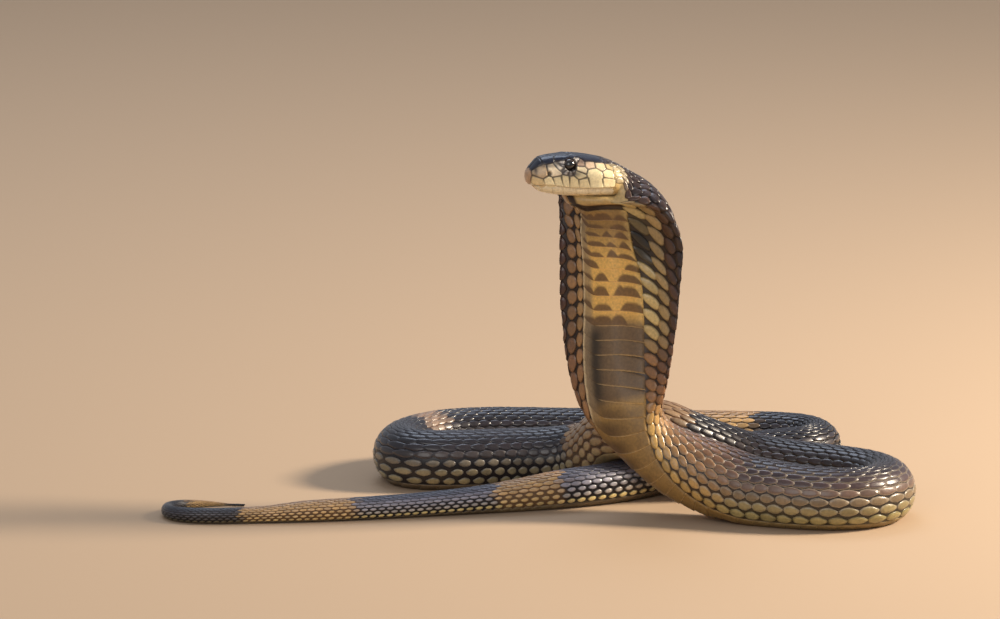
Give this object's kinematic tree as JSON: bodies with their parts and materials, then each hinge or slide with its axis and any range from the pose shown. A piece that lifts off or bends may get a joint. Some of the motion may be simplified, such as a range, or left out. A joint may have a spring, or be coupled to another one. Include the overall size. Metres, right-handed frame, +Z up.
{
  "type": "reared cobra model",
  "caption": "Life-size still model of a banded cobra, reared with its hood spread and resting on its loosely coiled body.",
  "frame": {"origin": "on the floor, under the middle of the model's bounding box", "axes": "+X towards the viewer's right as the picture shows it, away from the side the head faces; +Y away from the viewer; +Z up"},
  "size_m": [0.3162, 0.1565, 0.1534],
  "materials": {
    "head_skin": "glossy scales",
    "eye": "wet gloss",
    "hood_skin": "satin scales",
    "dark_skin": "glossy scales"
  },
  "bodies": {
    "root": {"head": "head_skin", "lower_jaw": "head_skin", "eye_left": "eye", "eye_right": "eye", "hood": "hood_skin", "neck": "hood_skin", "torso_1": "dark_skin", "torso_2": "dark_skin", "torso_3": "dark_skin", "torso_4": "dark_skin", "torso_5": "dark_skin", "torso_6": "dark_skin", "torso_7": "dark_skin", "torso_8": "dark_skin", "torso_9": "dark_skin", "torso_10": "dark_skin", "torso_11": "dark_skin", "tail_1": "dark_skin", "tail_2": "dark_skin", "tail_3": "dark_skin", "tail_4": "dark_skin"}
  },
  "joints": []
}
